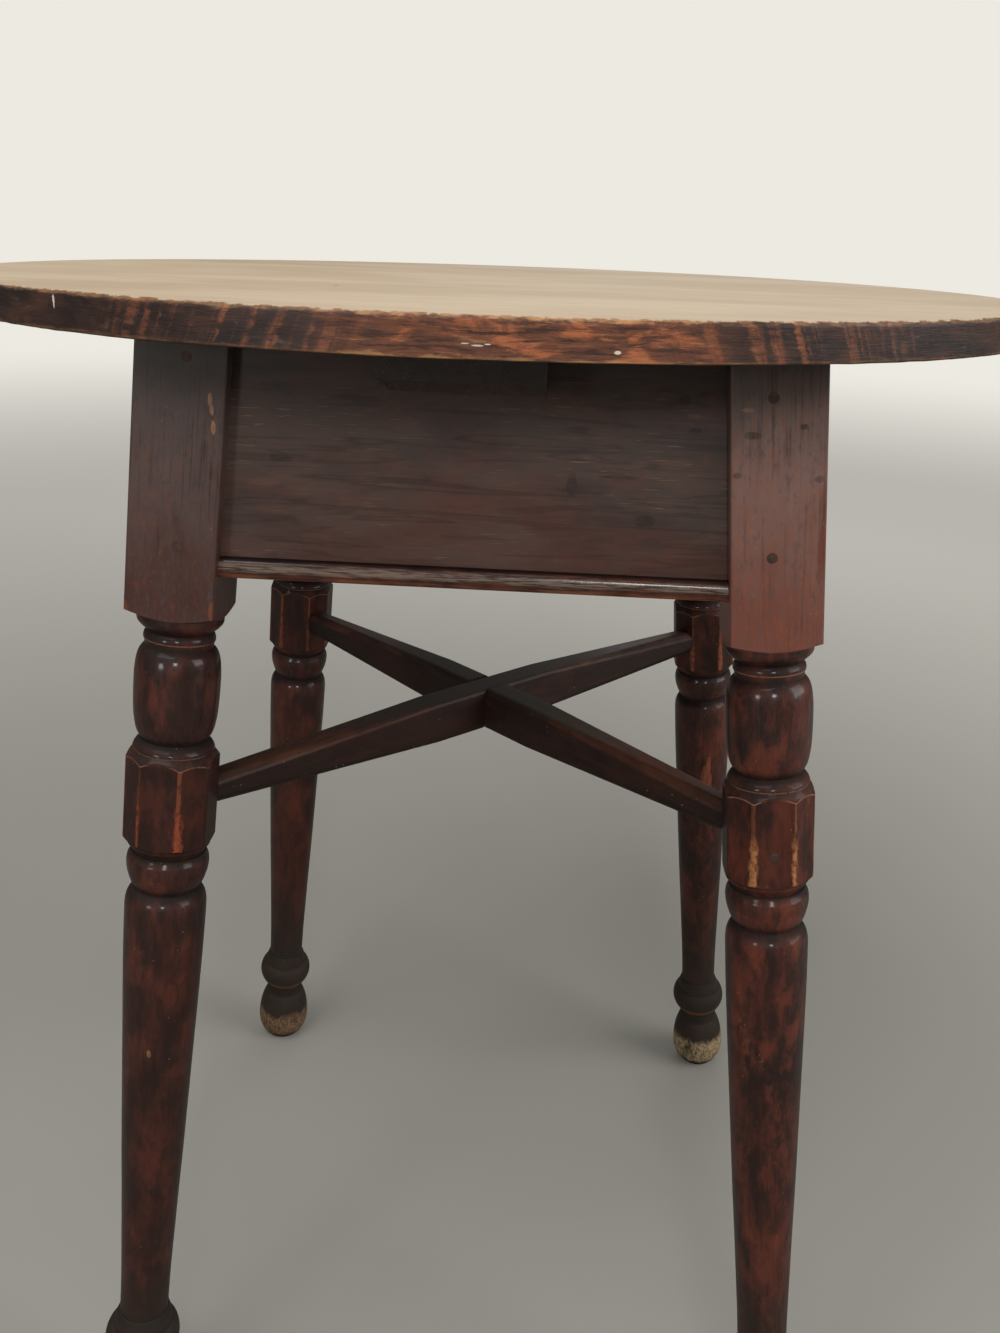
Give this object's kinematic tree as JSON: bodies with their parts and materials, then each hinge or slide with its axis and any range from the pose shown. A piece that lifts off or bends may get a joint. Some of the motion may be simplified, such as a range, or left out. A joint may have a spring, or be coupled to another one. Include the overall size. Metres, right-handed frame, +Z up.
{
  "type": "tavern table",
  "caption": "Small round tavern table with a boarded top on splayed turned legs, beaded aprons, a notched bearer and a halved cross stretcher.",
  "frame": {"origin": "on the floor, under the middle of the round top", "axes": "+Z up, -Y to the front, +X to the right along the boards' grain"},
  "size_m": [0.594, 0.5939, 0.708],
  "materials": {
    "top_boards": "scrubbed, worn pale",
    "frame_wood": "dark red-brown stain, aged varnish",
    "mouldings": "dark red-brown stain, aged varnish",
    "turned_wood": "dark red-brown stain, semi-gloss varnish",
    "stretcher_wood": "dark stain, dusty on top",
    "pegs": "dark end grain",
    "iron": "rusted wrought iron"
  },
  "bodies": {
    "root": {"top_board_front": "top_boards", "top_board_middle": "top_boards", "top_board_back": "top_boards", "top_pegs": "pegs", "bearer": "frame_wood", "bearer_nails": "iron", "apron_front": "frame_wood", "apron_right": "frame_wood", "apron_back": "frame_wood", "apron_left": "frame_wood", "apron_pegs": "pegs", "bead_front": "mouldings", "bead_right": "mouldings", "bead_back": "mouldings", "bead_left": "mouldings", "bead_pins": "iron", "leg_front_right": "turned_wood", "leg_back_right": "turned_wood", "leg_back_left": "turned_wood", "leg_front_left": "turned_wood", "stretcher_lower": "stretcher_wood", "stretcher_upper": "stretcher_wood", "stretcher_pegs": "pegs"}
  },
  "joints": []
}
